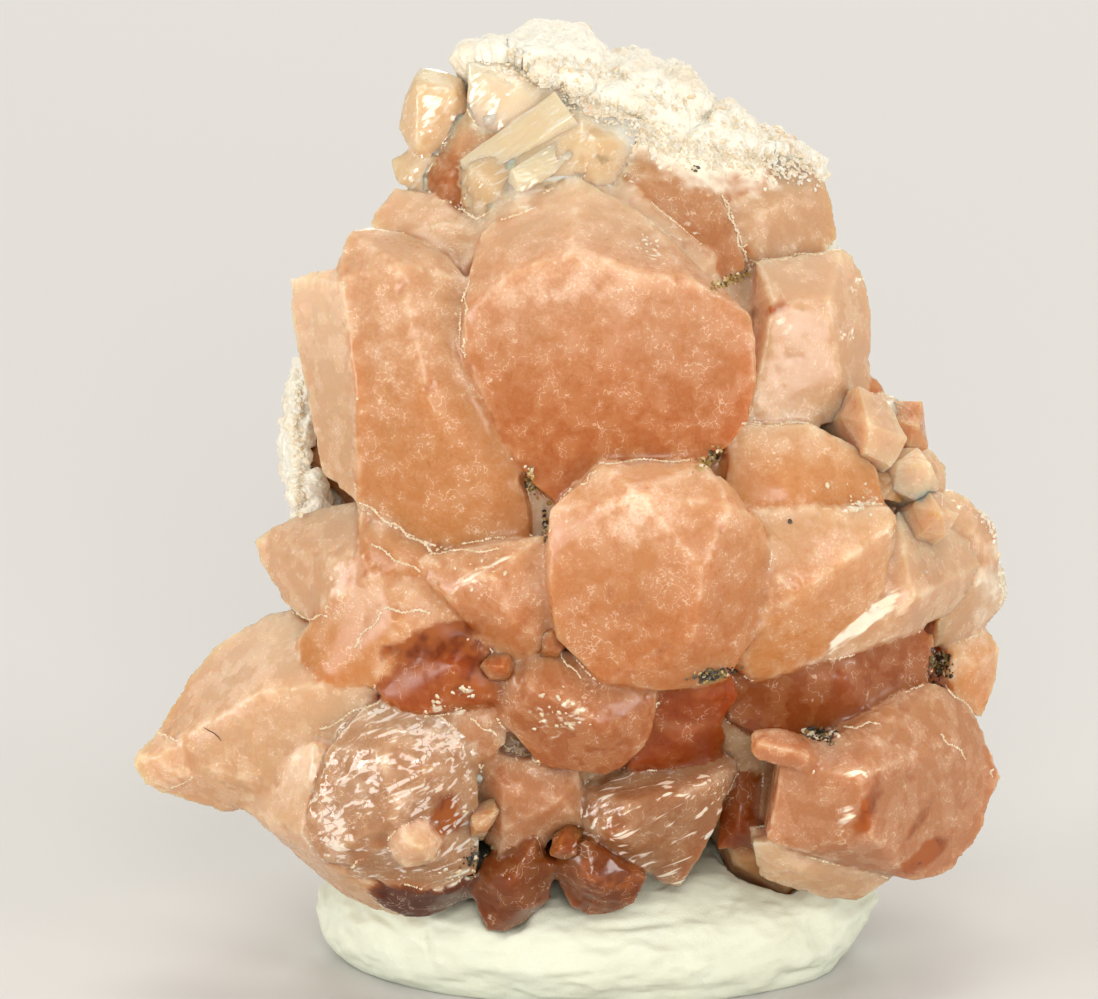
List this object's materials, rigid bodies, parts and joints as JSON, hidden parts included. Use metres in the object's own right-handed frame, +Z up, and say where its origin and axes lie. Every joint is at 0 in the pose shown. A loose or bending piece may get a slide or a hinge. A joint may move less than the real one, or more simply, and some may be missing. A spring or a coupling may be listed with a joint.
{
  "type": "amethyst specimen",
  "caption": "Free-standing cluster of frosted salmon-pink quartz crystals on a lumpy white matrix, pressed upright into a lump of off-white putty.",
  "frame": {"origin": "middle of the whole specimen's box at the putty's flat underside", "axes": "+Z up; the largest crystals face -Y, the matrix is at the back, +Y; the long point leans towards -X"},
  "size_m": [0.0614, 0.0398, 0.0666],
  "materials": {
    "amethyst": "frosted translucent salmon pink, with clear yellowish points and rust-red stains",
    "matrix": "rough white to cream, with tan staining",
    "putty": "matte off-white, hand pressed"
  },
  "bodies": {
    "root": {"amethyst_crystals": "amethyst", "matrix": "matrix", "putty_base": "putty"}
  },
  "joints": []
}
